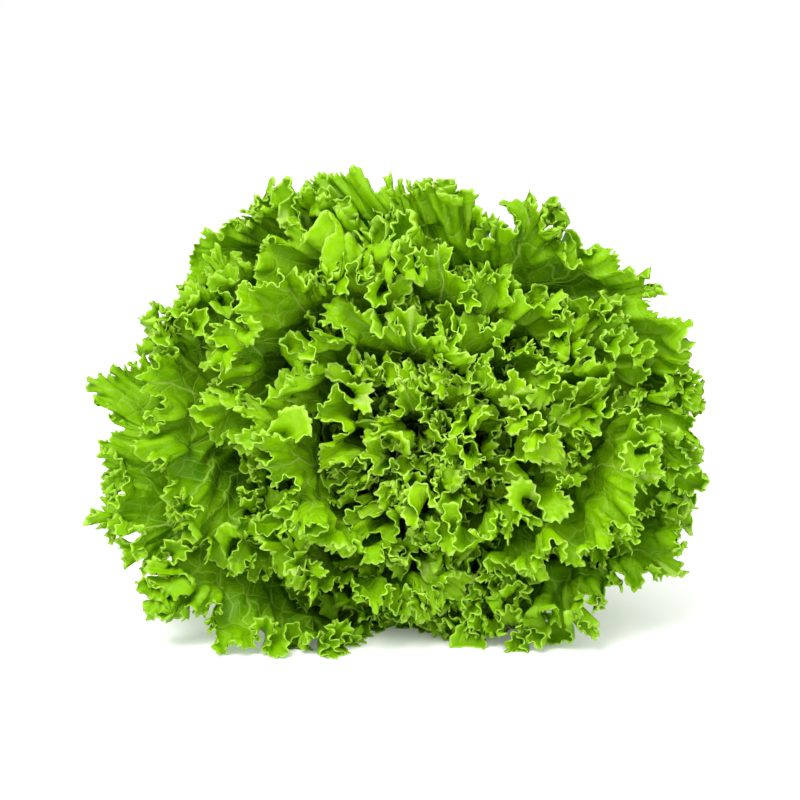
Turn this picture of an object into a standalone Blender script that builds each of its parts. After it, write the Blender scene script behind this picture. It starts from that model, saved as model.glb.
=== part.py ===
# A head of green leaf lettuce, lying on its side on a flat surface, at its real size.
# The short stem points away at +Y, the crown of frilled leaves faces -Y and a little up, and +Z is up.
# Every leaf grows from the stem on its own shell round the head's axis, so that no leaf crosses another.
# A place on a shell is given by its reach from the head's origin, its angle from the axis, and its turn
# round the axis, which runs from the right over the top. Sizes are in metres, and angles here in degrees.

import math
from types import SimpleNamespace

import bmesh
import bpy
import numpy as np

# The head: its lean, the place where its axis enters the stem, and half its spread round the axis, as a
# mean with a cosine and a sine for each number of lobes. At a few turns the crown bulges out or is pressed in
# by so many degrees, over this width on both sides and fully from this reach on
HEAD_TILT = 20.0
HEAD_ORIGIN = np.array([0.0135, 0.0861, 0.0376])
SPREAD_MEAN = 40.1
SPREAD_LOBES = ((1, -4.9, -7.1), (2, 3.8, -1.8), (3, 2.0, 2.1), (4, -0.2, -0.9))
SPREAD_BULGES = ((25.0, -3.0), (130.0, 4.0), (221.0, -4.0), (312.0, -6.5))
BULGE_WIDTH = 14.0
BULGE_REACH = 0.150

# The outermost shell: where it is narrowest, how fast it opens from there, and its sideways base
NARROWEST_SHARE = 0.93
NARROWEST_REACH = 0.130
SHELL_OPENS = 26.0
BASE_SIDEWAYS = 78.0
BASE_FADES = 0.034

# How the surface flattens the shells, and how they close and rumple toward the crown
FLOOR_SINK = 0.0022
FLOOR_SHARPNESS = 12
CLOSING = 7.5
RUMPLE = 0.035
CROWN_REACH = 0.16

# The leaves, from the outermost to the heart
OUTER_LEAVES = 9
MIDDLE_LEAVES = 10
HEART_LEAVES = 9
FIRST_LEAF_TURN = 285.0
GOLDEN_TURN = 137.508
HEART_SHELL = 0.08
SHELLS_WIDEN = 1.14
OUTER_LENGTH = 0.184
HEART_LENGTH = 0.119
LENGTH_FALLS = 2.4
OUTER_HALF_WIDTH = 0.104
HEART_HALF_WIDTH = 0.036
OUTER_STALK = 0.0120
HEART_STALK = 0.0070
SHORTER_BELOW = 0.29
SHORTER_FROM = 0.12
LENGTH_VARIES = 0.009
WIDTH_VARIES = 0.004
TURN_VARIES = 5.0
BEND_VARIES = 7.0
SEED = 100

# One leaf: its thickness, its outline, and how far it wraps round the head
BLADE = 0.0009
RIB = 0.0024
RIB_WIDTH = 0.30
SPINE_SHARE = 0.82
BASE_NARROWS = 1.3
LOBE_SIZE = 0.16
SMALLEST_WRAP = 0.030
MOST_WRAP = 66.0

# Its frill: the length of a wave along the edge, the swing of the edge in radians, the share of the way to
# the edge where the waves begin, and the room that the leaves beside it leave at each turn from its midrib
FRILL_WAVE = 0.0242
FRILL_FOLD = 1.25
FRILL_STARTS = 0.30
FRILL_GROWS = 1.4
LEVEL_WINDOW = 0.032
NEIGHBOUR_TURNS = (25.0, 36.0, 48.0, 56.0)
NEIGHBOUR_LEAVES = (3.0, 2.0, 2.0, 1.0)
FOLD_SHARE = 0.42

# Its mesh: rings from the midrib to the edge, and stations round the outline, from the tip (0) to the base (1)
RINGS = (0.0, 0.13, 0.42, 0.72, 1.0)
STALK_STATIONS = (0.81, 0.90, 1.0)
FOLDS_END = 0.76
MOST_FOLDS = 40
TABLE_POINTS = 3001

# The stem
STEM_RADIUS = 0.0165
STEM_HEIGHT = 0.054
STEM_BELOW = 0.006
STEM_BEVEL = 0.0015
STEM_SIDES = 20
STEM_GAP = 0.0004

LEAF_COUNT = OUTER_LEAVES + MIDDLE_LEAVES + HEART_LEAVES
TILT = math.radians(HEAD_TILT)
AXIS = np.array([0.0, -math.cos(TILT), math.sin(TILT)])
RIGHT = np.array([1.0, 0.0, 0.0])
UP = np.array([0.0, math.sin(TILT), math.cos(TILT)])


def free_spread(turn):
    """Angle from the axis at which the outermost leaves would stand if nothing pressed on them."""
    degrees = np.full(np.shape(turn), SPREAD_MEAN)
    for lobes, across, up in SPREAD_LOBES:
        degrees = degrees + across * np.cos(lobes * turn) + up * np.sin(lobes * turn)
    return np.radians(degrees)


def bulges(reach, turn):
    """Angle by which the crown stands farther out at a few turns. It dies out toward the stem."""
    total = np.zeros(np.shape(turn))
    for place, size in SPREAD_BULGES:
        apart = (np.degrees(turn) - place + 180) % 360 - 180
        total = total + np.radians(size) * np.exp(-((apart / BULGE_WIDTH) ** 2))
    return total * np.clip(reach / BULGE_REACH, 0, 1) ** 3


def open_shell(reach, turn):
    """Angle of the outermost shell: it leaves the stem sideways, stands up, and opens again at its tip."""
    standing = NARROWEST_SHARE + SHELL_OPENS * (reach - NARROWEST_REACH) ** 2
    sideways = math.radians(BASE_SIDEWAYS) * np.exp(-reach / BASE_FADES)
    return free_spread(turn) * standing + bulges(reach, turn) + sideways


def floor_spread(reach, turn):
    """Angle at which the shell meets the surface that the head lies on, or half a turn where it never does."""
    along = AXIS[2]
    across = np.sin(turn) * UP[2]
    height = HEAD_ORIGIN[2] + FLOOR_SINK
    drop = np.clip(-height / (reach * np.hypot(along, across)), -1, 1)
    return np.where(across < 0, np.arctan2(across, along) + np.arccos(drop), math.pi)


def shell_angle(shell, reach, turn):
    """Angle of one shell. The surface presses the outermost flat, and the others follow it inward."""
    soft = open_shell(reach, turn) ** -FLOOR_SHARPNESS + floor_spread(reach, turn) ** -FLOOR_SHARPNESS
    outermost = soft ** (-1 / FLOOR_SHARPNESS)
    crown = RUMPLE * np.clip(reach / CROWN_REACH, 0, 1) ** 2
    rumple = crown * (np.sin(3 * turn + 30 * reach) + np.sin(5 * turn - 20 * reach))
    return outermost * shell ** (1 + CLOSING * reach**2 + rumple)


def place(reach, angle, turn):
    """World points at these reaches, angles and turns."""
    radial = np.outer(np.cos(turn), RIGHT) + np.outer(np.sin(turn), UP)
    direction = np.cos(angle)[:, None] * AXIS + np.sin(angle)[:, None] * radial
    return HEAD_ORIGIN + reach[:, None] * direction


def stem_radius(height):
    """Radius of the stem at this height above the head's origin, along its axis."""
    return STEM_RADIUS * np.sqrt(np.clip(1 - height / STEM_HEIGHT, 0, 1))


def waves(rng, counts, size):
    """A seeded sum of sines along the outline, of these numbers of waves on each side."""
    along = np.linspace(-1, 1, TABLE_POINTS)
    total = np.zeros(TABLE_POINTS)
    for count in counts:
        total += rng.uniform(-1, 1) * size / count * np.sin(math.tau * count * along + rng.uniform(0, math.tau))
    return total


def between(outer, heart, share):
    return outer + (heart - outer) * share


def leaf_shell(order):
    """Shell of a leaf, as a share of the outermost. The outer ones stand closer together than the heart's."""
    return 1 - (1 - HEART_SHELL) * (order / (LEAF_COUNT - 1)) ** SHELLS_WIDEN


def leaf_plan(order):
    """Shell, turn, sizes and outline of one leaf, by its place in the order from the outermost to the heart."""
    rng = np.random.default_rng(SEED + order)
    share = order / (LEAF_COUNT - 1)
    leaf = SimpleNamespace(shell=leaf_shell(order))
    leaf.step = leaf_shell(max(order - 1, 0)) - leaf_shell(max(order, 1))
    leaf.turn = math.radians(FIRST_LEAF_TURN + order * GOLDEN_TURN + rng.uniform(-1, 1) * TURN_VARIES)
    leaf.bend = math.radians(rng.uniform(-1, 1) * BEND_VARIES)
    leaf.length = between(OUTER_LENGTH, HEART_LENGTH, share**LENGTH_FALLS) + rng.uniform(-1, 1) * LENGTH_VARIES
    below = max(0.0, -math.sin(leaf.turn) - SHORTER_FROM) / (1 - SHORTER_FROM)
    leaf.length *= 1 - SHORTER_BELOW * leaf.shell * below
    leaf.start = leaf_start(leaf)
    half_width = between(OUTER_HALF_WIDTH, HEART_HALF_WIDTH, share) + rng.uniform(-1, 1) * WIDTH_VARIES
    stalk = between(OUTER_STALK, HEART_STALK, share)

    # One side of the outline, from the base to the tip, and how far along it each point lies
    sweep = np.linspace(math.pi, 0, 1500)
    along = leaf.length / 2 * (1 + np.cos(sweep))
    broad = np.sin(sweep) * np.cos(sweep / 2) ** BASE_NARROWS
    across = stalk * np.minimum(1, 2 * sweep) + half_width * broad / broad.max()
    walked = np.concatenate([[0], np.cumsum(np.hypot(np.diff(along), np.diff(across)))])
    leaf.side = walked[-1]

    # The whole outline, with low lobes, from one side of the base over the tip to the other side
    leaf.station = np.linspace(-1, 1, TABLE_POINTS)
    from_base = 1 - np.abs(leaf.station)
    lobes = 1 + waves(rng, (5, 7, 9, 12), LOBE_SIZE) * np.clip(from_base / 0.4, 0, 1) ** 2
    leaf.edge_along = np.interp(from_base, walked / leaf.side, along) * lobes
    leaf.edge_across = np.interp(from_base, walked / leaf.side, across) * lobes * np.sign(leaf.station)

    # The frill's waves along the outline, which fade out toward the stalk
    rise = np.clip((from_base - 0.16) / 0.22, 0, 1)
    wave = FRILL_WAVE * rng.uniform(0.92, 1.12)
    wander = waves(rng, (1, 2, 3, 5), 1.0)
    leaf.fold_phase = math.tau * leaf.station * leaf.side / wave + wander - wander[TABLE_POINTS // 2]
    leaf.fold_phase += math.pi * (order % 2)
    leaf.fold_size = (1 + waves(rng, (2, 3, 5, 7), 0.5)) * rise**2 * (3 - 2 * rise)
    return leaf


def leaf_start(leaf):
    """Reach at which the leaf's base meets the stem, at its midrib and to both sides of it."""
    reach = np.linspace(0.012, STEM_HEIGHT, 800)
    clear = np.full(reach.shape, math.inf)
    for lean in (-0.6, 0.0, 0.6):
        angle = shell_angle(leaf.shell, reach, leaf.turn + lean)
        clear = np.minimum(clear, reach * np.sin(angle) - stem_radius(reach * np.cos(angle)))
    return reach[np.flatnonzero(clear < STEM_GAP)[-1] + 1]


def folded_share(swing):
    """Length of a folded edge's base, as a share of the edge, when the edge swings by this many radians."""
    steps = (np.arange(24) + 0.5) / 24 * math.pi
    return np.cos(np.multiply.outer(swing, np.sin(steps))).mean(-1)


def fold_height(leaf, ring):
    """Height of the frill's waves out of the shell, all round the leaf, on this ring."""
    growth = np.clip((ring - FRILL_STARTS) / (1 - FRILL_STARTS), 0, 1) ** FRILL_GROWS
    swing = FRILL_FOLD * growth * leaf.fold_size
    step = 2 * leaf.side / (TABLE_POINTS - 1)
    height = np.cumsum(np.sin(swing * np.sin(leaf.fold_phase)) / folded_share(swing)) * step
    window = round(LEVEL_WINDOW / step)
    kernel = np.hanning(window) / np.hanning(window).sum()
    padded = np.pad(height, window, mode="edge")
    return height - np.convolve(padded, kernel, "same")[window:-window]


def fold_room(leaf, reach, turn):
    """How far a fold may stand out of its shell before it meets a fold of the next leaf over this place."""
    step = leaf.step * shell_angle(1.0, reach, turn) * reach
    leaves = np.interp(np.abs(turn - leaf.turn), np.radians(NEIGHBOUR_TURNS), NEIGHBOUR_LEAVES)
    from_axis = shell_angle(leaf.shell, reach, turn) * reach
    return np.maximum(np.minimum(FOLD_SHARE * leaves * step, 0.8 * from_axis) - BLADE, 0.0002)


def leaf_stations(leaf):
    """Places round the outline, as many on each side of the tip: each crest and trough, then the stalk's."""
    middle = leaf.fold_phase[TABLE_POINTS // 2]
    folds = math.pi * np.arange(1, MOST_FOLDS)
    right = np.interp(middle + folds, leaf.fold_phase, leaf.station)
    left = np.interp(middle - folds, leaf.fold_phase, leaf.station)
    count = min(np.sum(right < FOLDS_END), np.sum(left > -FOLDS_END))
    stalk = np.array(STALK_STATIONS)
    return np.concatenate([-stalk[::-1], left[:count][::-1], [0.0], right[:count], stalk])


def leaf_points(leaf, station, ring):
    """World points of the leaf's inner and outer faces."""
    height = np.zeros(len(station))
    for share in RINGS:
        on_ring = ring == share
        height[on_ring] = np.interp(station[on_ring], leaf.station, fold_height(leaf, share))
    from_base = 1 - np.abs(station)
    rib = np.clip(1 - ring / RIB_WIDTH, 0, 1) * (1 - 0.8 * from_base)
    thickness = between(BLADE, RIB, rib)

    spine = SPINE_SHARE * leaf.length * from_base
    along = between(spine, np.interp(station, leaf.station, leaf.edge_along), ring)
    across = ring * np.interp(station, leaf.station, leaf.edge_across)
    reach = leaf.start + along
    middle = shell_angle(leaf.shell, reach, np.full(len(reach), leaf.turn))
    wrap = across / np.hypot(reach * np.sin(middle), SMALLEST_WRAP)
    wrap /= (1 + (wrap / math.radians(MOST_WRAP)) ** 6) ** (1 / 6)
    turn = leaf.turn + wrap + leaf.bend * (along / leaf.length) ** 2
    room = fold_room(leaf, reach, turn)
    inner = shell_angle(leaf.shell, reach, turn) + room * np.tanh(height / room) / reach
    return place(reach, inner, turn), place(reach, inner + thickness / reach, turn)


def build_leaf(name, order, colour):
    """One closed leaf: a grid of stations by rings, folded into its frill, then given its thickness outwards."""
    leaf = leaf_plan(order)
    stations = leaf_stations(leaf)
    bm = bmesh.new()
    bmesh.ops.create_grid(bm, x_segments=len(stations) - 1, y_segments=len(RINGS) - 1, size=0.5)
    column = np.array([round((v.co.x + 0.5) * (len(stations) - 1)) for v in bm.verts])
    row = np.array([round((v.co.y + 0.5) * (len(RINGS) - 1)) for v in bm.verts])
    ring = np.array(RINGS)[row]
    # Both sides of the leaf meet at the same points of its midrib.
    paired = (stations - stations[::-1]) / 2
    station = between(paired[column], stations[column], np.minimum(1, ring / RINGS[2]))
    inner, outer = leaf_points(leaf, station, ring)
    # What the surface holds up lies flat on it.
    inner[:, 2] = np.maximum(inner[:, 2], BLADE)
    outer[:, 2] = np.maximum(outer[:, 2], 0.0)

    bmesh.ops.triangulate(bm, faces=bm.faces, quad_method="FIXED")
    twin = bm.verts.layers.int.new("twin")
    for index, vert in enumerate(bm.verts):
        vert.co = inner[index]
        vert[twin] = index
    bmesh.ops.remove_doubles(bm, verts=bm.verts, dist=1e-6)
    extruded = bmesh.ops.extrude_face_region(bm, geom=bm.faces[:], use_keep_orig=True)["geom"]
    for vert in (item for item in extruded if isinstance(item, bmesh.types.BMVert)):
        vert.co = outer[vert[twin]]
    bmesh.ops.recalc_face_normals(bm, faces=bm.faces)
    finish(name, bm, colour)


def build_stem(name, colour):
    """The short stem, turned about the head's axis: a flat cut foot, and a blunt cone that the leaves grow from."""
    heights = np.linspace(0, 1, 8) ** 0.8 * STEM_HEIGHT
    profile = [(-STEM_BELOW, 0.0), (-STEM_BELOW, STEM_RADIUS - STEM_BEVEL), (STEM_BEVEL - STEM_BELOW, STEM_RADIUS)]
    profile += [(height, stem_radius(height)) for height in heights]
    bm = bmesh.new()
    verts = [bm.verts.new(HEAD_ORIGIN + height * AXIS + radius * RIGHT) for height, radius in profile]
    edges = [bm.edges.new(pair) for pair in zip(verts, verts[1:])]
    bmesh.ops.spin(
        bm, geom=verts + edges, cent=HEAD_ORIGIN, axis=AXIS, angle=math.tau, steps=STEM_SIDES, use_merge=True
    )
    bmesh.ops.remove_doubles(bm, verts=bm.verts, dist=1e-6)
    bmesh.ops.recalc_face_normals(bm, faces=bm.faces)
    finish(name, bm, colour)


def finish(name, bm, colour):
    mesh = bpy.data.meshes.new(name)
    bm.to_mesh(mesh)
    bm.free()
    mesh.shade_smooth()
    mesh.set_sharp_from_angle(angle=math.radians(40))
    mesh.materials.append(colour)
    bpy.context.scene.collection.objects.link(bpy.data.objects.new(name, mesh))


def material(name, colour, roughness):
    made = bpy.data.materials.new(name)
    made.use_nodes = True
    shader = made.node_tree.nodes["Principled BSDF"]
    shader.inputs["Base Color"].default_value = (*colour, 1.0)
    shader.inputs["Roughness"].default_value = roughness
    shader.inputs["Metallic"].default_value = 0.0
    return made


for old in list(bpy.data.objects):
    bpy.data.objects.remove(old)

build_stem("stem", material("stem", (0.62, 0.70, 0.36), 0.45))
groups = (
    ("outer_leaf", OUTER_LEAVES, (0.13, 0.34, 0.02)),
    ("middle_leaf", MIDDLE_LEAVES, (0.19, 0.44, 0.02)),
    ("heart_leaf", HEART_LEAVES, (0.30, 0.52, 0.05)),
)
order = 0
for group, count, colour in groups:
    green = material(group, colour, 0.4)
    for number in range(1, count + 1):
        build_leaf(f"{group}_{number:02d}", order, green)
        order += 1
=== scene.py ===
import math
from types import SimpleNamespace

import bmesh
import bpy
import numpy as np
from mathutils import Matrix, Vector


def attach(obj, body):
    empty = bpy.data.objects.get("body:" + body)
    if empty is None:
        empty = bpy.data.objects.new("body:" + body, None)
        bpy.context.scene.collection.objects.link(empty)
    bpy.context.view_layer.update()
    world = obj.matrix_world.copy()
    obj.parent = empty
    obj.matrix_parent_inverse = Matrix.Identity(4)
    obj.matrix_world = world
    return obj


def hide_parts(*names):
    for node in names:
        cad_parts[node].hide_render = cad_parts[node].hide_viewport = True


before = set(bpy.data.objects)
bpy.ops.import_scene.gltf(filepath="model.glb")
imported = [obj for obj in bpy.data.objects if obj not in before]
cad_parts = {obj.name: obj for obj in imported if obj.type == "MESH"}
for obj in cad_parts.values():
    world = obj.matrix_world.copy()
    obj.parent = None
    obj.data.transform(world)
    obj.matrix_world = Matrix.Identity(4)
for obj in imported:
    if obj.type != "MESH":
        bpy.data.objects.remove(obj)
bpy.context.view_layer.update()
scene = bpy.context.scene


# The stem: a short, solid, pale green core that every leaf grows from. It was cut off square with a knife, so
# its foot is a flat, moist face with a ring of veins, and the milk that ran out of it has dried pale brown.

# The head's lean, the place where its axis enters the stem, the axis, and the directions square to it
TILT = math.radians(20.0)
HEAD_ORIGIN = np.array([0.0135, 0.0861, 0.0376])
AXIS = np.array([0.0, -math.cos(TILT), math.sin(TILT)])
RIGHT = np.array([1.0, 0.0, 0.0])
UP = np.array([0.0, math.sin(TILT), math.cos(TILT)])

# The stem narrows to a point inside the head. Its foot is dished a little, and is rounded at its rim, here as
# heights above the foot with shares of the radius
STEM_RADIUS = 0.0165
STEM_HEIGHT = 0.054
STEM_BELOW = 0.006
STEM_SIDES = 96
STEM_RINGS = 40
FOOT_DISH = 0.0007
FOOT_FLAT = 0.9
FOOT_RINGS = 14
FOOT_RIM = ((0.0, 0.93), (0.0003, 0.97), (0.0009, 0.99), (0.0018, 1.0))

# The marks on the foot, by their distance from its middle
VEIN_RING_IN = (0.0088, 0.0098)
VEIN_RING_OUT = (0.0104, 0.0114)
BROWN_RIM = (0.0135, 0.0165)
MARKS_WANDER = 0.004


def stem_radius(height):
    """Radius of the stem at this height above the head's origin, along its axis."""
    return STEM_RADIUS * np.sqrt(np.clip(1 - height / STEM_HEIGHT, 0, 1))


def node(tree, kind, **settings):
    """A new node in this tree. A name that starts with in_ is an input's, and any other a property's."""
    made = tree.nodes.new(kind)
    for name, value in settings.items():
        if not name.startswith("in_"):
            setattr(made, name, value)
            continue
        key = name[3:]
        socket = made.inputs[int(key) if key.isdigit() else key.replace("_", " ")]
        if isinstance(value, bpy.types.NodeSocket):
            tree.links.new(value, socket)
        else:
            socket.default_value = value
    return made


def calc(tree, operation, *values, clamp=False):
    """The output of a math node, for these numbers or outputs."""
    fed = {f"in_{index}": value for index, value in enumerate(values)}
    return node(tree, "ShaderNodeMath", operation=operation, use_clamp=clamp, **fed).outputs[0]


def band(tree, value, low, high, first=0.0, last=1.0):
    """A smooth step between two places of a value."""
    step = node(
        tree,
        "ShaderNodeMapRange",
        interpolation_type="SMOOTHSTEP",
        in_Value=value,
        in_From_Min=low,
        in_From_Max=high,
        in_To_Min=first,
        in_To_Max=last,
    )
    return step.outputs["Result"]


def blend_colour(tree, share, first, second):
    """The second colour, laid over the first by this share."""
    return node(tree, "ShaderNodeMix", data_type="RGBA", in_0=share, in_6=first, in_7=second).outputs[2]


def noise(tree, place, scale, detail):
    """A mask of soft blotches."""
    return node(tree, "ShaderNodeTexNoise", in_Vector=place, in_Scale=scale, in_Detail=detail).outputs[0]


def piece(name, bm, material, cad_node):
    """Finishes a piece and puts it in the place of its node."""
    mesh = bpy.data.meshes.new(name)
    bm.to_mesh(mesh)
    bm.free()
    mesh.shade_smooth()
    mesh.materials.append(material)
    made = bpy.data.objects.new(name, mesh)
    scene.collection.objects.link(made)
    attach(made, "root")
    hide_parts(cad_node)


def stem_material():
    """Pale, wet stem flesh. The cut foot has a ring of veins, and has browned in blotches and at its edge."""
    made = bpy.data.materials.new("stem_flesh")
    made.use_nodes = True
    tree = made.node_tree
    shader = tree.nodes["Principled BSDF"]
    turned = node(
        tree,
        "ShaderNodeMapping",
        vector_type="TEXTURE",
        in_Vector=node(tree, "ShaderNodeTexCoord").outputs["Object"],
        in_Location=HEAD_ORIGIN,
        in_Rotation=(TILT - math.pi / 2 + math.pi, 0.0, 0.0),
    ).outputs[0]
    parts = node(tree, "ShaderNodeSeparateXYZ", in_0=turned)
    flat = node(tree, "ShaderNodeCombineXYZ", in_X=parts.outputs["X"], in_Y=parts.outputs["Y"])
    radius = node(tree, "ShaderNodeVectorMath", operation="LENGTH", in_0=flat.outputs[0]).outputs["Value"]
    blotch = noise(tree, turned, 160.0, 5.0)
    grain = noise(tree, turned, 900.0, 3.0)
    uneven = calc(tree, "ADD", radius, calc(tree, "MULTIPLY_ADD", blotch, MARKS_WANDER, -MARKS_WANDER / 2))
    inside = band(tree, uneven, *VEIN_RING_IN)
    veins = calc(tree, "MULTIPLY", inside, band(tree, uneven, *VEIN_RING_OUT, 1.0, 0.0))
    browned = calc(tree, "ADD", band(tree, uneven, *BROWN_RIM), band(tree, blotch, 0.56, 0.70), clamp=True)
    flesh = blend_colour(tree, veins, (0.66, 0.70, 0.40, 1), (0.47, 0.55, 0.19, 1))
    flesh = blend_colour(tree, calc(tree, "MULTIPLY", browned, 0.55), flesh, (0.36, 0.20, 0.07, 1))
    tree.links.new(flesh, shader.inputs["Base Color"])
    tree.links.new(band(tree, grain, 0.3, 0.7, 0.30, 0.48), shader.inputs["Roughness"])
    bump = node(tree, "ShaderNodeBump", in_Strength=0.5, in_Distance=0.0004, in_Height=grain)
    tree.links.new(bump.outputs[0], shader.inputs["Normal"])
    return made


bm = bmesh.new()
shares = np.linspace(0, FOOT_FLAT, FOOT_RINGS)
heights = np.linspace(0, 1, STEM_RINGS) ** 0.8 * STEM_HEIGHT
profile = [(FOOT_DISH * (1 - (share / FOOT_FLAT) ** 2) - STEM_BELOW, STEM_RADIUS * share) for share in shares]
profile += [(rise - STEM_BELOW, STEM_RADIUS * share) for rise, share in FOOT_RIM]
profile += [(height, stem_radius(height)) for height in heights]
verts = [bm.verts.new(HEAD_ORIGIN + height * AXIS + radius * RIGHT) for height, radius in profile]
edges = [bm.edges.new(pair) for pair in zip(verts, verts[1:])]
bmesh.ops.spin(
    bm, geom=verts + edges, cent=HEAD_ORIGIN, axis=AXIS, angle=math.tau, steps=STEM_SIDES, use_merge=True
)
bmesh.ops.remove_doubles(bm, verts=bm.verts, dist=1e-6)
bmesh.ops.recalc_face_normals(bm, faces=bm.faces)
piece("cut_stem", bm, stem_material(), "stem")


# The outer leaves: nine broad, thin blades with a pale midrib each. They clasp the foot of the stem, and
# their wet, crisp margins have grown far too long to lie flat, so they stand in deep folds with finer ones on
# them. Below, reach is a distance from the head's origin, and turn an angle round its axis from the right.

# The outermost shell: half its spread round the axis in degrees, as a mean with a cosine and a sine for each
# number of lobes, the turns where it bulges or is pressed in, its waist and base, and its flat underside
SPREAD_MEAN = 40.1
SPREAD_LOBES = ((1, -4.9, -7.1), (2, 3.8, -1.8), (3, 2.0, 2.1), (4, -0.2, -0.9))
SPREAD_BULGES = ((25.0, -3.0), (130.0, 4.0), (221.0, -4.0), (312.0, -6.5))
BULGE_WIDTH = 14.0
BULGE_REACH = 0.150
NARROWEST_SHARE = 0.93
NARROWEST_REACH = 0.130
SHELL_OPENS = 26.0
BASE_SIDEWAYS = 78.0
BASE_FADES = 0.034
FLOOR_SINK = 0.0022
FLOOR_SHARPNESS = 12

# The shells within it close over the heart, and are rumpled at the crown
CLOSING = 7.5
RUMPLE = 0.035
CROWN_REACH = 0.16

# The leaves in their order, from the outermost to the heart: turns, shells, sizes, and how much these vary
OUTER_LEAVES = 9
MIDDLE_LEAVES = 10
HEART_LEAVES = 9
LEAF_COUNT = OUTER_LEAVES + MIDDLE_LEAVES + HEART_LEAVES
FIRST_LEAF_TURN = 285.0
GOLDEN_TURN = 137.508
HEART_SHELL = 0.08
SHELLS_WIDEN = 1.14
OUTER_LENGTH = 0.184
HEART_LENGTH = 0.119
LENGTH_FALLS = 2.4
OUTER_HALF_WIDTH = 0.104
HEART_HALF_WIDTH = 0.036
OUTER_STALK = 0.0120
HEART_STALK = 0.0070
SHORTER_BELOW = 0.29
SHORTER_FROM = 0.12
LENGTH_VARIES = 0.009
WIDTH_VARIES = 0.004
TURN_VARIES = 5.0
BEND_VARIES = 7.0
SEED = 100
STEM_GAP = 0.0004

# A leaf's outline, its spine's share of its length, and how it wraps round the head
OUTLINE_POINTS = 1500
TABLE_POINTS = 7001
BASE_NARROWS = 1.3
OUTLINE_LOBES = (5, 7, 9, 12)
LOBE_SIZE = 0.16
SPINE_SHARE = 0.82
SMALLEST_WRAP = 0.030
MOST_WRAP = 66.0

# The main folds of the frill, which the solids have too: the length of a wave along the outline, how far the
# edge swings in radians, where the folds begin and have risen, and the room that they have between leaves
FRILL_WAVE = 0.0242
FRILL_FOLD = 1.25
FRILL_STARTS = 0.30
FRILL_GROWS = 1.4
RISE_FROM = 0.16
RISE_OVER = 0.22
LEVEL_WINDOW = 0.032
NEIGHBOUR_TURNS = (25.0, 36.0, 48.0, 56.0)
NEIGHBOUR_LEAVES = (3.0, 2.0, 2.0, 1.0)
FOLD_SHARE = 0.42
BLADE = 0.0009
ROOM = 1.9
LEAST_ROOM = 0.0055
DEEPER = 1.15
MOST_SWING = 1.9

# The margin bends outward here and there, though less near the floor
FLARE = 0.0030
FLARE_DEPTH = 0.020
FLARE_COUNTS = (1, 2, 3, 5)
FLARE_VARIES = 1.8
FLARE_LIMITS = (-1.2, 3.0)
FLARE_FLOOR = 0.020

# The finer folds on the main ones, and the crimp on those: wave, swing, and depth from the rim. The heart's
# differ by these shares. Each fold has its own length and size
FINE_WAVE = 0.0130
FINE_FOLD = 1.80
FINE_DEPTH = 0.027
FINE_COUNTS = (3, 5, 8, 13, 17)
FINE_UNEVEN = 0.4
CRIMP_WAVE = 0.0058
CRIMP_FOLD = 1.25
CRIMP_DEPTH = 0.0080
CRIMP_COUNTS = (7, 13, 19, 29)
CRIMP_UNEVEN = 0.5
HEART_WAVE = 1.35
HEART_FOLD = 0.72
HEART_CRIMP = 0.60
FOLD_VARIES = 0.6
FOLD_LIMITS = (0.5, 1.25)
FOLD_GROWS = 1.3
FOLD_SWING = 1.95
DRIFT_WAVES = 1.6
EASE = 0.85

# The lobes and the teeth cut into the rim: wave, height, and depth from the rim
LOBE_WAVE = 0.0140
LOBE_HEIGHT = 0.0050
LOBE_DEPTH = 0.016
LOBE_COUNTS = (5, 9, 14, 23)
TOOTH_WAVE = 0.0045
TOOTH_HEIGHT = 0.0016
TOOTH_DEPTH = 0.0042
TOOTH_COUNTS = (11, 17, 29, 41)
POINT_UNEVEN = 0.25
POINT_VARIES = 1.2
POINT_MOST = 2.0
POINT_SHARPNESS = 1.4
POINT_LOW = 0.4

# The puffs between the veins, by their sizes, and the sheet's thickness at its rim and its midrib
BLISTER = 0.0014
BLISTER_SIZES = (0.011, 0.017, 0.026)
MARGIN_THICKNESS = 0.00038
RIB_THICKNESS = 0.0028
RIB_WIDTH = 0.30

# The mesh: its rings from the midrib to the rim, and the rings past which it has twice as many columns
RIM_SPACING = 0.00088
COARSE_RINGS = (0.0, 0.10, 0.22, 0.36)
MIDDLE_RINGS = (0.48, 0.60, 0.70)
FINE_RINGS = (0.78, 0.85, 0.905, 0.95)
RIM_RINGS = (0.98, 1.0)
RINGS = COARSE_RINGS + MIDDLE_RINGS + FINE_RINGS + RIM_RINGS
FINER_FROM = (
    len(COARSE_RINGS),
    len(COARSE_RINGS + MIDDLE_RINGS),
    len(COARSE_RINGS + MIDDLE_RINGS + FINE_RINGS),
    len(RINGS) - 1,
)
REST_GAP = 0.0002

# A leaf stays under the blades of so many leaves before it, up to this ring of theirs
COVER_RING = 0.78
COVER_STEP = 3
COVER_SIDE = 90
COVER_GAP = 0.0022
COVER_SOFT = 0.0030
MOST_COVER = 9

# The flat leaf that the veins are drawn on, the gap between its branches, and the light that it lets through
FLAT_SIZE = 0.25
BRANCH_SPACING = 0.016
THROUGH = 0.33


def free_spread(turn):
    """Angle from the axis at which the outermost leaves would stand if nothing pressed on them."""
    degrees = np.full(np.shape(turn), SPREAD_MEAN)
    for lobes, across, up in SPREAD_LOBES:
        degrees = degrees + across * np.cos(lobes * turn) + up * np.sin(lobes * turn)
    return np.radians(degrees)


def bulges(reach, turn):
    """Angle by which the crown stands farther out at a few turns. It dies out toward the stem."""
    total = np.zeros(np.shape(turn))
    for place, size in SPREAD_BULGES:
        apart = (np.degrees(turn) - place + 180) % 360 - 180
        total = total + np.radians(size) * np.exp(-((apart / BULGE_WIDTH) ** 2))
    return total * np.clip(reach / BULGE_REACH, 0, 1) ** 3


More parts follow.
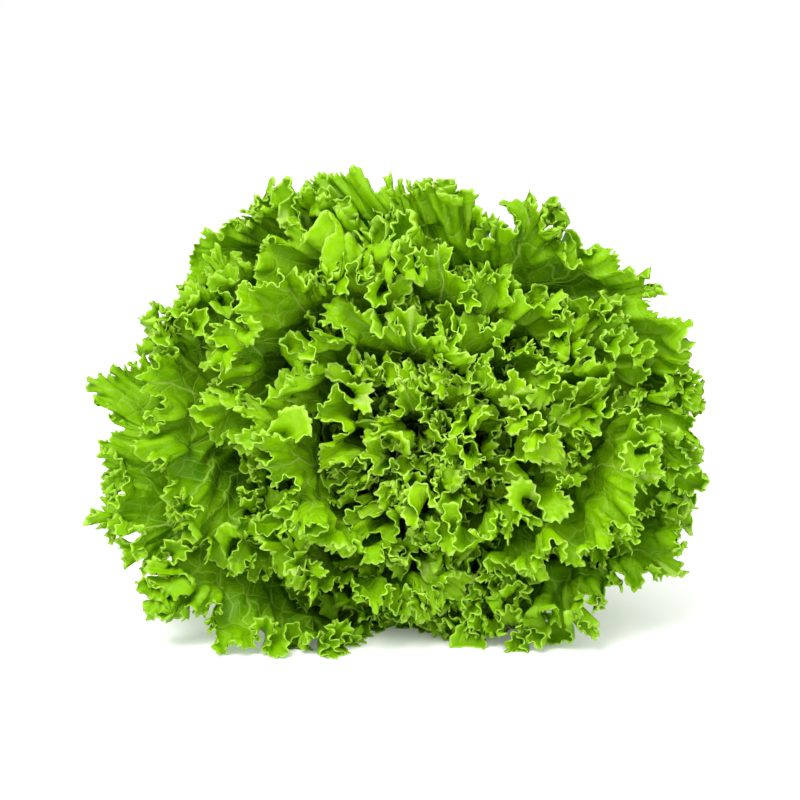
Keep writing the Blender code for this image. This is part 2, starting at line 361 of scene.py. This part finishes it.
def open_shell(reach, turn):
    """Angle of the outermost shell: it leaves the stem sideways, stands up, and opens again at its tip."""
    standing = NARROWEST_SHARE + SHELL_OPENS * (reach - NARROWEST_REACH) ** 2
    sideways = math.radians(BASE_SIDEWAYS) * np.exp(-reach / BASE_FADES)
    return free_spread(turn) * standing + bulges(reach, turn) + sideways


def floor_spread(reach, turn):
    """Angle at which the shell meets the surface below the head, or half a turn where it never does."""
    along = AXIS[2]
    across = np.sin(turn) * UP[2]
    height = HEAD_ORIGIN[2] + FLOOR_SINK
    drop = np.clip(-height / (reach * np.hypot(along, across)), -1, 1)
    return np.where(across < 0, np.arctan2(across, along) + np.arccos(drop), math.pi)


def shell_angle(shell, reach, turn):
    """Angle of one shell. The surface presses the outermost flat, and the others follow it inward."""
    soft = open_shell(reach, turn) ** -FLOOR_SHARPNESS + floor_spread(reach, turn) ** -FLOOR_SHARPNESS
    outermost = soft ** (-1 / FLOOR_SHARPNESS)
    crown = RUMPLE * np.clip(reach / CROWN_REACH, 0, 1) ** 2
    rumple = crown * (np.sin(3 * turn + 30 * reach) + np.sin(5 * turn - 20 * reach))
    return outermost * shell ** (1 + CLOSING * reach**2 + rumple)


def directions(angle, turn):
    """Unit vectors away from the origin at these angles and turns, and square to them, away from the axis."""
    radial = np.cos(turn)[..., None] * RIGHT + np.sin(turn)[..., None] * UP
    cosine, sine = np.cos(angle)[..., None], np.sin(angle)[..., None]
    return cosine * AXIS + sine * radial, cosine * radial - sine * AXIS


def waves(rng, counts, size):
    """A seeded sum of sines along the outline, of these numbers of waves on each side."""
    along = np.linspace(-1, 1, TABLE_POINTS)
    total = np.zeros(TABLE_POINTS)
    for count in counts:
        height = rng.uniform(-1, 1) * size / count
        total += height * np.sin(math.tau * count * along + rng.uniform(0, math.tau))
    return total


def between(first, second, share):
    """The value this share of the way from the first to the second."""
    return first + (second - first) * share


def leaf_start(leaf):
    """Reach at which the leaf's base meets the stem, at its midrib and to both sides of it."""
    reach = np.linspace(0.012, STEM_HEIGHT, 800)
    clear = np.full(reach.shape, math.inf)
    for lean in (-0.6, 0.0, 0.6):
        angle = shell_angle(leaf.shell, reach, leaf.turn + lean)
        clear = np.minimum(clear, reach * np.sin(angle) - stem_radius(reach * np.cos(angle)))
    return reach[np.flatnonzero(clear < STEM_GAP)[-1] + 1]


def leaf_shell(order):
    """Shell of a leaf, as a share of the outermost. The outer ones stand closer together than the heart's."""
    return 1 - (1 - HEART_SHELL) * (order / (LEAF_COUNT - 1)) ** SHELLS_WIDEN


def leaf_plan(order):
    """Shell, turn, sizes and outline of one leaf, by its place in the order from the outside in."""
    rng = np.random.default_rng(SEED + order)
    share = order / (LEAF_COUNT - 1)
    leaf = SimpleNamespace(shell=leaf_shell(order))
    leaf.step = leaf_shell(max(order - 1, 0)) - leaf_shell(max(order, 1))
    leaf.turn = math.radians(FIRST_LEAF_TURN + order * GOLDEN_TURN + rng.uniform(-1, 1) * TURN_VARIES)
    leaf.bend = math.radians(rng.uniform(-1, 1) * BEND_VARIES)
    leaf.length = between(OUTER_LENGTH, HEART_LENGTH, share**LENGTH_FALLS)
    leaf.length += rng.uniform(-1, 1) * LENGTH_VARIES
    below = max(0.0, -math.sin(leaf.turn) - SHORTER_FROM) / (1 - SHORTER_FROM)
    leaf.length *= 1 - SHORTER_BELOW * leaf.shell * below
    leaf.start = leaf_start(leaf)
    half_width = between(OUTER_HALF_WIDTH, HEART_HALF_WIDTH, share) + rng.uniform(-1, 1) * WIDTH_VARIES
    stalk = between(OUTER_STALK, HEART_STALK, share)

    sweep = np.linspace(math.pi, 0, OUTLINE_POINTS)
    along = leaf.length / 2 * (1 + np.cos(sweep))
    broad = np.sin(sweep) * np.cos(sweep / 2) ** BASE_NARROWS
    across = stalk * np.minimum(1, 2 * sweep) + half_width * broad / broad.max()
    walked = np.concatenate([[0], np.cumsum(np.hypot(np.diff(along), np.diff(across)))])
    leaf.side = walked[-1]

    leaf.station = np.linspace(-1, 1, TABLE_POINTS)
    from_base = 1 - np.abs(leaf.station)
    lobes = 1 + waves(rng, OUTLINE_LOBES, LOBE_SIZE) * np.clip(from_base / 0.4, 0, 1) ** 2
    leaf.edge_along = np.interp(from_base, walked / leaf.side, along) * lobes
    leaf.edge_across = np.interp(from_base, walked / leaf.side, across) * lobes * np.sign(leaf.station)

    rise = np.clip((from_base - RISE_FROM) / RISE_OVER, 0, 1)
    wave = FRILL_WAVE * rng.uniform(0.92, 1.12)
    wander = waves(rng, (1, 2, 3, 5), 1.0)
    leaf.fold_phase = math.tau * leaf.station * leaf.side / wave + wander - wander[TABLE_POINTS // 2]
    leaf.fold_phase += math.pi * (order % 2)
    leaf.rise = rise**2 * (3 - 2 * rise)
    leaf.fold_size = (1 + waves(rng, (2, 3, 5, 7), 0.5)) * leaf.rise
    leaf.rng = rng
    return leaf


def folded_share(swing):
    """Length of a folded edge's base, as a share of the edge, when the edge swings by this many radians."""
    steps = (np.arange(24) + 0.5) / 24 * math.pi
    return sum(np.cos(swing * math.sin(step)) for step in steps) / len(steps)


def levelled(rows, window):
    """Rows of numbers with their slow drift taken out."""
    kernel = np.hanning(window) / np.hanning(window).sum()
    padded = np.pad(rows, ((0, 0), (window, window)), mode="edge")
    slow = np.array([np.convolve(row, kernel, "same")[window:-window] for row in padded])
    return rows - slow


def meander(phase, swing, step, window):
    """How far a folded edge stands out of its base and slides along it, ring by ring."""
    angle = swing * np.sin(phase)
    share = folded_share(swing)
    height = np.cumsum(np.sin(angle) / share * step, axis=1)
    slide = np.cumsum((np.cos(angle) / share - 1) * step, axis=1)
    return levelled(height, window), levelled(slide, window)


def fold_room(leaf, reach, turn):
    """How far a fold may stand out of its shell before it meets a fold of the next leaf over this place."""
    step = leaf.step * shell_angle(1.0, reach, turn) * reach
    leaves = np.interp(np.abs(turn - leaf.turn), np.radians(NEIGHBOUR_TURNS), NEIGHBOUR_LEAVES)
    from_axis = shell_angle(leaf.shell, reach, turn) * reach
    room = np.maximum(np.minimum(FOLD_SHARE * leaves * step, 0.8 * from_axis) - BLADE, 0.0002)
    return np.minimum(np.maximum(ROOM * room, LEAST_ROOM), 0.8 * from_axis + 0.001)


def unit(vectors):
    return vectors / np.maximum(np.linalg.norm(vectors, axis=-1, keepdims=True), 1e-9)


def eased(vectors, places):
    """The unit vectors, averaged over this many places along the outline, and with the rings beside them."""
    for _ in range(2):
        padded = np.pad(vectors, ((0, 0), (places, places), (0, 0)), mode="edge")
        total = np.cumsum(padded, axis=1)
        vectors = (total[:, 2 * places :] - total[:, : -2 * places]) / (2 * places)
    padded = np.pad(vectors, ((1, 1), (0, 0), (0, 0)), mode="edge")
    return unit(padded[:-2] + 2 * padded[1:-1] + padded[2:])


def sheet_frame(points, ease=0.0):
    """Along the edge, out of the sheet and toward the edge, at each ring and place along the outline."""
    along = np.gradient(points, axis=1)
    step = np.linalg.norm(along, axis=-1)
    out = unit(np.cross(along, np.gradient(points, axis=0)))
    along = unit(along)
    if ease:
        places = max(1, round(ease / 2 / np.median(step[-1])))
        out = eased(out, places)
        along = eased(along, places)
    return along, out, unit(np.cross(out, along)), step


def ruffled(points, leaf, wave, fold, depth, uneven, counts):
    """The sheet with a finer frill on its margin. A fold is as long as the wave, along the folded edge."""
    along, out, toward, step = sheet_frame(points, EASE * wave)
    walked = np.cumsum(step[-1])
    middle = TABLE_POINTS // 2
    phase = math.tau * (walked - walked[middle]) / wave + waves(leaf.rng, counts, uneven * counts[-1])
    size = np.clip(1 + waves(leaf.rng, counts, FOLD_VARIES * counts[0]), *FOLD_LIMITS)
    growth = np.clip(1 - leaf.from_edge / depth, 0, 1) ** FOLD_GROWS
    swing = fold * growth * size * leaf.rise
    window = max(5, round(DRIFT_WAVES * wave / np.median(step[-1])))
    height, slide = meander(phase, np.minimum(swing, FOLD_SWING), step, window)
    return points + height[..., None] * out + slide[..., None] * along


def toothed(points, leaf, wave, height, depth, counts):
    """The sheet with uneven points along its rim, as far apart as the wave and fading within the depth."""
    along, out, toward, step = sheet_frame(points, EASE * wave)
    phase = np.cumsum(step[-1]) / wave + waves(leaf.rng, counts, POINT_UNEVEN * counts[-1])
    point = (2 * np.abs(phase % 1 - 0.5)) ** POINT_SHARPNESS
    size = np.clip(1 + waves(leaf.rng, counts, POINT_VARIES * counts[0]), 0.0, POINT_MOST) * leaf.rise
    cut = height * size * (point - POINT_LOW) * np.clip(1 - leaf.from_edge / depth, 0, 1)
    return points + cut[..., None] * toward


def blistered(leaf, across, along):
    """How far the blade puffs up between its veins."""
    total = np.zeros(across.shape)
    for size in BLISTER_SIZES:
        lean = leaf.rng.uniform(0, math.tau, 4)
        aslant = np.sin(math.tau * across / size + lean[0] + 2 * np.sin(90 * along + lean[1]))
        upward = np.sin(math.tau * along / size + lean[2] + 2 * np.sin(80 * across + lean[3]))
        total += size / BLISTER_SIZES[-1] * aslant * upward
    return total * (2 * BLISTER * np.clip(np.abs(across) / 0.012, 0, 1) * np.clip(along / 0.06, 0, 1))


def leaf_sheet(leaf):
    """World points of the blade's inner face, at each ring and place along the outline."""
    ring = np.array(RINGS)[:, None]
    from_base = 1 - np.abs(leaf.station)
    spine = SPINE_SHARE * leaf.length * from_base
    along = between(spine, leaf.edge_along, ring)
    across = ring * leaf.edge_across
    leaf.flat = np.stack([across, along], axis=-1)
    leaf.from_edge = (1 - ring) * np.hypot(leaf.edge_along - spine, leaf.edge_across)

    reach = leaf.start + along
    middle = shell_angle(leaf.shell, reach, np.full(reach.shape, leaf.turn))
    wrap = across / np.hypot(reach * np.sin(middle), SMALLEST_WRAP)
    wrap /= (1 + (wrap / math.radians(MOST_WRAP)) ** 6) ** (1 / 6)
    turn = leaf.turn + wrap + leaf.bend * (along / leaf.length) ** 2
    angle = shell_angle(leaf.shell, reach, turn)
    away, out = directions(angle, turn)
    points = HEAD_ORIGIN + reach[..., None] * away
    blade_row = RINGS.index(COVER_RING)
    note_cover(leaf, reach[blade_row], turn[blade_row] - leaf.turn)
    edge = sheet_frame(points)

    flat_step = 2 * leaf.side / (TABLE_POINTS - 1)
    growth = np.clip((ring - FRILL_STARTS) / (1 - FRILL_STARTS), 0, 1) ** FRILL_GROWS
    swing = np.minimum(DEEPER * FRILL_FOLD * growth * leaf.fold_size, MOST_SWING)
    window = round(LEVEL_WINDOW / flat_step)
    height = meander(leaf.fold_phase, swing, flat_step, window)[0]
    slide = meander(leaf.fold_phase, swing, edge[3], window)[1]
    room = fold_room(leaf, reach, turn)
    blister = blistered(leaf, across, along)
    flare = FLARE * np.clip(1 - leaf.from_edge / FLARE_DEPTH, 0, 1) ** 2 * leaf.rise
    flare *= np.clip(1 + waves(leaf.rng, FLARE_COUNTS, FLARE_VARIES), *FLARE_LIMITS)
    flare *= np.clip(points[..., 2] / FLARE_FLOOR, 0, 1)
    height = room * np.tanh(height / room) + blister + flare
    points = points + height[..., None] * out + slide[..., None] * edge[0]

    wave = FINE_WAVE * between(HEART_WAVE, 1, leaf.shell)
    fold = FINE_FOLD * between(HEART_FOLD, 1, leaf.shell)
    crimp = CRIMP_FOLD * between(HEART_CRIMP, 1, leaf.shell)
    points = ruffled(points, leaf, wave, fold, FINE_DEPTH, FINE_UNEVEN, FINE_COUNTS)
    points = toothed(points, leaf, LOBE_WAVE, LOBE_HEIGHT, LOBE_DEPTH, LOBE_COUNTS)
    points = ruffled(points, leaf, CRIMP_WAVE, crimp, CRIMP_DEPTH, CRIMP_UNEVEN, CRIMP_COUNTS)
    return toothed(points, leaf, TOOTH_WAVE, TOOTH_HEIGHT, TOOTH_DEPTH, TOOTH_COUNTS)


def note_cover(leaf, reach, around):
    """Keeps how far the leaf's blade covers the leaves within, at each turn from its midrib."""
    leaf.cover_turns = np.radians(np.arange(-COVER_SIDE, COVER_SIDE + 1, COVER_STEP))
    leaf.cover = np.zeros(leaf.cover_turns.shape)
    place = np.round((np.degrees(around) + COVER_SIDE) / COVER_STEP).astype(int)
    np.maximum.at(leaf.cover, place.clip(0, len(leaf.cover) - 1), reach)


def under_others(points, others):
    """The sheet, pressed under the blades of the outer leaves wherever they cover it."""
    apart = points - HEAD_ORIGIN
    reach = np.linalg.norm(apart, axis=-1)
    turn = np.arctan2(apart @ UP, apart @ RIGHT)
    angle = np.arccos(np.clip(apart @ AXIS / reach, -1, 1))
    most = np.full(angle.shape, math.tau)
    for other in others:
        around = (turn - other.turn + math.pi) % math.tau - math.pi
        covered = reach < np.interp(around, other.cover_turns, other.cover, left=0, right=0)
        blade = shell_angle(other.shell, reach, turn) - COVER_GAP / reach
        most = np.where(covered, np.minimum(most, blade), most)
    soft = COVER_SOFT / reach
    over = np.maximum(angle - most + soft, 0)
    pressed = angle - over + soft * np.tanh(over / soft)
    return HEAD_ORIGIN + reach[..., None] * directions(pressed, turn)[0]


def leaf_stations(leaf, points):
    """Places along the outline for the coarse columns, alike on both sides, by the folded edge's length."""
    walked = np.cumsum(np.linalg.norm(np.gradient(points[-1], axis=0), axis=1))
    middle = TABLE_POINTS // 2
    half = (walked[middle:] - walked[middle] + walked[middle] - walked[: middle + 1][::-1]) / 2
    half += 0.25 * half[-1] * leaf.station[middle:]
    columns = 2 * max(14, round(walked[-1] / RIM_SPACING / 32))
    return columns, half / half[-1], leaf.station[middle:]


def edge_is_level(edge):
    """Whether the edge lies along the outline in the flat grid."""
    return abs(edge.verts[0].co.y - edge.verts[1].co.y) < 1e-5


def build_leaf(name, order, material, cad_node):
    """One closed leaf: a flat grid of stations by rings, finer toward its rim, bent into its sheet."""
    leaf = leaf_plan(order)
    points = under_others(leaf_sheet(leaf), grown[-MOST_COVER:])
    grown.append(leaf)
    columns, half, half_station = leaf_stations(leaf, points)
    rows = len(RINGS) - 1
    bm = bmesh.new()
    bmesh.ops.create_grid(bm, x_segments=columns, y_segments=rows, size=0.5)
    for first in FINER_FROM:
        low = (first - 0.5) / rows - 0.5
        level = [e for e in bm.edges if min(v.co.y for v in e.verts) > low and edge_is_level(e)]
        bmesh.ops.subdivide_edges(bm, edges=level, cuts=1)

    # Each vertex takes its place, its flat place and its distance from the rim from the sheet at its station
    grid = np.array([vert.co for vert in bm.verts])
    row = np.round((grid[:, 1] + 0.5) * rows).astype(int)
    sweep = np.clip(2 * grid[:, 0], -1, 1)
    station = np.sign(sweep) * np.interp(np.abs(sweep), half, half_station)
    sheet = np.concatenate([points, leaf.flat, leaf.from_edge[..., None]], axis=-1)
    spot = np.zeros((len(grid), sheet.shape[-1]))
    for ring in range(len(RINGS)):
        here = row == ring
        for axis in range(sheet.shape[-1]):
            spot[here, axis] = np.interp(station[here], leaf.station, sheet[ring, :, axis])
    rib = np.clip(1 - np.array(RINGS)[row] / RIB_WIDTH, 0, 1) ** 1.5
    rib = rib * (1 - 0.85 * (1 - np.abs(station)))
    thickness = between(MARGIN_THICKNESS, RIB_THICKNESS, rib)
    flat = bm.loops.layers.uv.new("blade")
    from_edge = bm.verts.layers.float.new("from_edge")
    thick = bm.verts.layers.float.new("thick")
    for index, vert in enumerate(bm.verts):
        vert.co = spot[index, :3]
        vert.co.z = max(vert.co.z, REST_GAP + MARGIN_THICKNESS)
        vert[from_edge] = spot[index, 5]
        vert[thick] = thickness[index]
        for loop in vert.link_loops:
            loop[flat].uv = (spot[index, 3] / FLAT_SIZE + 0.5, spot[index, 4] / FLAT_SIZE)

    bmesh.ops.remove_doubles(bm, verts=bm.verts, dist=1e-6)
    bm.normal_update()
    outer = bm.verts.layers.float_vector.new("outer")
    for vert in bm.verts:
        vert[outer] = vert.co + vert.normal * vert[thick]
    raised = bmesh.ops.extrude_face_region(bm, geom=bm.faces[:], use_keep_orig=True)["geom"]
    for vert in raised:
        if isinstance(vert, bmesh.types.BMVert):
            vert.co = vert[outer]
            vert.co.z = max(vert.co.z, REST_GAP)
    bm.verts.layers.float_vector.remove(outer)
    bm.verts.layers.float.remove(bm.verts.layers.float["thick"])
    bmesh.ops.recalc_face_normals(bm, faces=bm.faces)
    piece(name, bm, material, cad_node)


def vein_group():
    """Masks of a leaf: its veins in branches and a net, the puffed cells between them, and its midrib."""
    tree = bpy.data.node_groups.new("leaf_veins", "ShaderNodeTree")
    tree.interface.new_socket(name="Flat place", in_out="INPUT", socket_type="NodeSocketVector")
    for name in ("Veins", "Puff", "Rib"):
        tree.interface.new_socket(name=name, in_out="OUTPUT", socket_type="NodeSocketFloat")
    given = node(tree, "NodeGroupInput").outputs[0]
    metres = node(tree, "ShaderNodeVectorMath", operation="SCALE", in_0=given, in_Scale=FLAT_SIZE).outputs[0]
    bend = node(tree, "ShaderNodeTexNoise", noise_dimensions="2D", in_Vector=metres, in_Scale=55.0)
    bend.inputs["Detail"].default_value = 2.0
    shift = node(tree, "ShaderNodeVectorMath", operation="MULTIPLY_ADD", in_0=bend.outputs["Color"])
    shift.inputs[1].default_value = (0.010, 0.010, 0.0)
    shift.inputs[2].default_value = (-0.005, -0.005, 0.0)
    bent = node(tree, "ShaderNodeVectorMath", operation="ADD", in_0=metres, in_1=shift.outputs[0]).outputs[0]
    parts = node(tree, "ShaderNodeSeparateXYZ", in_0=bent)
    across = calc(tree, "SUBTRACT", parts.outputs["X"], FLAT_SIZE / 2)
    along = parts.outputs["Y"]
    out = calc(tree, "ABSOLUTE", across)

    # The branches leave the midrib at a sharp angle and spread toward the rim
    side = calc(tree, "MULTIPLY", calc(tree, "GREATER_THAN", across, 0.0), BRANCH_SPACING / 2)
    climb = calc(tree, "POWER", out, 0.85)
    lean = calc(tree, "SUBTRACT", calc(tree, "ADD", along, side), calc(tree, "MULTIPLY", climb, 0.62))
    branch = calc(tree, "PINGPONG", lean, BRANCH_SPACING / 2)
    thin = calc(tree, "MULTIPLY_ADD", out, -0.006, 0.0011)
    branches = band(tree, branch, 0.0001, thin, 1.0, 0.0)

    # The net of small veins closes cells between them, and smaller cells within
    total = branches
    puff = None
    for scale, width, strength in ((95.0, 0.075, 0.80), (260.0, 0.10, 0.38)):
        cells = node(tree, "ShaderNodeTexVoronoi", voronoi_dimensions="2D", feature="DISTANCE_TO_EDGE")
        tree.links.new(bent, cells.inputs["Vector"])
        cells.inputs["Scale"].default_value = scale
        line = band(tree, cells.outputs["Distance"], 0.0, width, strength, 0.0)
        total = calc(tree, "MAXIMUM", total, line)
        if puff is None:
            puff = band(tree, cells.outputs["Distance"], 0.0, 0.45)
    rib_edge = calc(tree, "MAXIMUM", calc(tree, "MULTIPLY_ADD", along, -0.030, 0.0048), 0.0006)
    rib = band(tree, out, calc(tree, "MULTIPLY", rib_edge, 0.35), rib_edge, 1.0, 0.0)
    done = node(tree, "NodeGroupOutput")
    for name, value in (("Veins", total), ("Puff", puff), ("Rib", rib)):
        tree.links.new(value, done.inputs[name])
    return tree


def leaf_material(name, blade, margin, rim, vein, base):
    """Crisp, wet leaf: deep green on its blade and bright on its frill, partly its own tones and partly
    painted shade and painted light, pale along its veins and at its base, with a painted highlight along its
    rim.
    """
    made = bpy.data.materials.new(name)
    made.use_nodes = True
    tree = made.node_tree
    shader = tree.nodes["Principled BSDF"]
    flat = node(tree, "ShaderNodeUVMap", uv_map="blade").outputs[0]
    veins = node(tree, "ShaderNodeGroup", node_tree=leaf_veins, in_0=flat)
    edge = node(tree, "ShaderNodeAttribute", attribute_name="from_edge").outputs["Fac"]
    along = node(tree, "ShaderNodeSeparateXYZ", in_0=flat).outputs["Y"]
    place = node(tree, "ShaderNodeTexCoord").outputs["Object"]
    mottle = noise(tree, place, 38.0, 4.0)
    speck = noise(tree, place, 420.0, 3.0)

    colour = blend_colour(tree, band(tree, mottle, 0.30, 0.72), blade, margin)
    # Toward the rim the colour turns to the bright margin tone. Both tones are partly the leaf's own greens:
    # the bright margin is partly painted light shining through the frills, and the deep blade is partly
    # painted shade within the head
    near = band(tree, edge, 0.001, 0.020, 1.0, 0.0)
    colour = blend_colour(tree, near, colour, margin)
    colour = blend_colour(tree, calc(tree, "MULTIPLY", band(tree, speck, 0.45, 0.75), 0.18), colour, blade)
    shown = calc(tree, "MULTIPLY", veins.outputs["Veins"], band(tree, edge, 0.0, 0.022, 0.25, 0.75))
    colour = blend_colour(tree, shown, colour, vein)
    # Painted highlight: a thin pale line on the last fraction of a millimetre of the rim, where its edge
    # would catch the light
    colour = blend_colour(tree, band(tree, edge, 0.0002, 0.0007, 0.7, 0.0), colour, rim)
    pale = calc(tree, "MAXIMUM", veins.outputs["Rib"], band(tree, along, 0.05, 0.17, 1.0, 0.0))
    colour = blend_colour(tree, calc(tree, "MULTIPLY", pale, 0.75), colour, base)
    tree.links.new(colour, shader.inputs["Base Color"])
    tree.links.new(band(tree, mottle, 0.3, 0.7, 0.26, 0.42), shader.inputs["Roughness"])
    shader.inputs["Specular IOR Level"].default_value = 0.11
    sunk = calc(tree, "MULTIPLY", veins.outputs["Veins"], 0.6)
    relief = calc(tree, "SUBTRACT", veins.outputs["Puff"], sunk)
    relief = calc(tree, "ADD", relief, calc(tree, "MULTIPLY", speck, 0.25))
    bump = node(tree, "ShaderNodeBump", in_Strength=0.55, in_Distance=0.0008, in_Height=relief)
    tree.links.new(bump.outputs[0], shader.inputs["Normal"])

    lit_through = node(tree, "ShaderNodeBsdfTranslucent", in_Color=colour, in_Normal=bump.outputs[0])
    mixed = node(tree, "ShaderNodeMixShader", in_0=THROUGH, in_1=shader.outputs[0])
    tree.links.new(lit_through.outputs[0], mixed.inputs[2])
    tree.links.new(mixed.outputs[0], tree.nodes["Material Output"].inputs["Surface"])
    return made


def build_group(kind, count, first, material):
    """The leaves of one group, in the order in which they stand from the outside in."""
    for number in range(1, count + 1):
        cad_node = f"{kind}_leaf_{number:02d}"
        build_leaf(f"frilled_{cad_node}", first + number - 1, material, cad_node)


grown = []
leaf_veins = vein_group()
# In each set of leaf colours, rim is a painted highlight along the edge, and the deep blade and bright margin
# are partly the leaf's own greens and partly painted shade and painted light
outer_green = leaf_material(
    "outer_leaf_green",
    blade=(0.070, 0.215, 0.001, 1),
    margin=(0.235, 0.510, 0.001, 1),
    rim=(0.46, 0.72, 0.08, 1),
    vein=(0.34, 0.58, 0.05, 1),
    base=(0.44, 0.64, 0.11, 1),
)
build_group("outer", OUTER_LEAVES, 0, outer_green)


# The middle leaves: ten leaves of the same kind, which grew later and are a little smaller and brighter. They
# stand between the outer ones and fill the crown with their frills.

# Rim is a painted highlight; blade and margin are partly painted shade and painted light
middle_green = leaf_material(
    "middle_leaf_green",
    blade=(0.085, 0.240, 0.001, 1),
    margin=(0.265, 0.550, 0.001, 1),
    rim=(0.50, 0.76, 0.10, 1),
    vein=(0.36, 0.60, 0.05, 1),
    base=(0.47, 0.66, 0.12, 1),
)
build_group("middle", MIDDLE_LEAVES, OUTER_LEAVES, middle_green)


# The heart leaves: the newest, nine short, tender, yellow-green leaves. They close over the growing tip of
# the stem, and their frills are the palest of the head.

# Rim is a painted highlight; blade and margin are partly painted shade and painted light
heart_green = leaf_material(
    "heart_leaf_green",
    blade=(0.115, 0.290, 0.001, 1),
    margin=(0.305, 0.590, 0.001, 1),
    rim=(0.55, 0.79, 0.13, 1),
    vein=(0.40, 0.62, 0.07, 1),
    base=(0.50, 0.68, 0.14, 1),
)
build_group("heart", HEART_LEAVES, OUTER_LEAVES + MIDDLE_LEAVES, heart_green)


# The studio: a plain white floor, a bright even surround, a large soft lamp above the camera's left and a
# weaker one at its right. The camera looks a little down at the crown.

FLOOR_SIZE = 6
CROWN = (0, 0, 0.08)
CAMERA_TARGET = Vector((0.0, 0.0, 0.092))
CAMERA_DISTANCE = 0.858
CAMERA_ELEVATION = math.radians(14)

floor_paint = bpy.data.materials.new("floor_paint")
floor_paint.use_nodes = True
floor_shader = floor_paint.node_tree.nodes["Principled BSDF"]
floor_shader.inputs["Base Color"].default_value = (0.96, 0.96, 0.96, 1)
floor_shader.inputs["Roughness"].default_value = 0.9
floor_shader.inputs["Specular IOR Level"].default_value = 0.1
floor_shader.inputs["Emission Color"].default_value = (1, 1, 1, 1)
floor_shader.inputs["Emission Strength"].default_value = 0.10
bm = bmesh.new()
bmesh.ops.create_grid(bm, x_segments=1, y_segments=1, size=FLOOR_SIZE)
floor_mesh = bpy.data.meshes.new("studio_floor")
bm.to_mesh(floor_mesh)
bm.free()
floor_mesh.materials.append(floor_paint)
studio_floor = bpy.data.objects.new("studio_floor", floor_mesh)
scene.collection.objects.link(studio_floor)

surround = bpy.data.worlds.new("studio_surround")
surround.use_nodes = True
surround.node_tree.nodes["Background"].inputs["Color"].default_value = (1, 1, 1, 1)
surround.node_tree.nodes["Background"].inputs["Strength"].default_value = 1.0
scene.world = surround


def lamp(name, place, target, size, power):
    """A soft square lamp, turned to its target."""
    light = bpy.data.lights.new(name, "AREA")
    light.size = size
    light.energy = power
    held = bpy.data.objects.new(name, light)
    scene.collection.objects.link(held)
    held.location = place
    held.rotation_euler = (Vector(target) - Vector(place)).to_track_quat("-Z", "Y").to_euler()


lamp("key_lamp", (-0.45, -0.75, 1.25), CROWN, 0.8, 24)
lamp("fill_lamp", (0.9, -0.9, 0.6), CROWN, 0.9, 7)

lens = bpy.data.cameras.new("camera")
lens.lens = 85
lens.sensor_width = 36
camera = bpy.data.objects.new("camera", lens)
scene.collection.objects.link(camera)
backward = Vector((0.0, -math.cos(CAMERA_ELEVATION), math.sin(CAMERA_ELEVATION)))
camera.location = CAMERA_TARGET + CAMERA_DISTANCE * backward
camera.rotation_euler = (CAMERA_TARGET - camera.location).to_track_quat("-Z", "Y").to_euler()
scene.camera = camera
scene.view_settings.view_transform = "Standard"
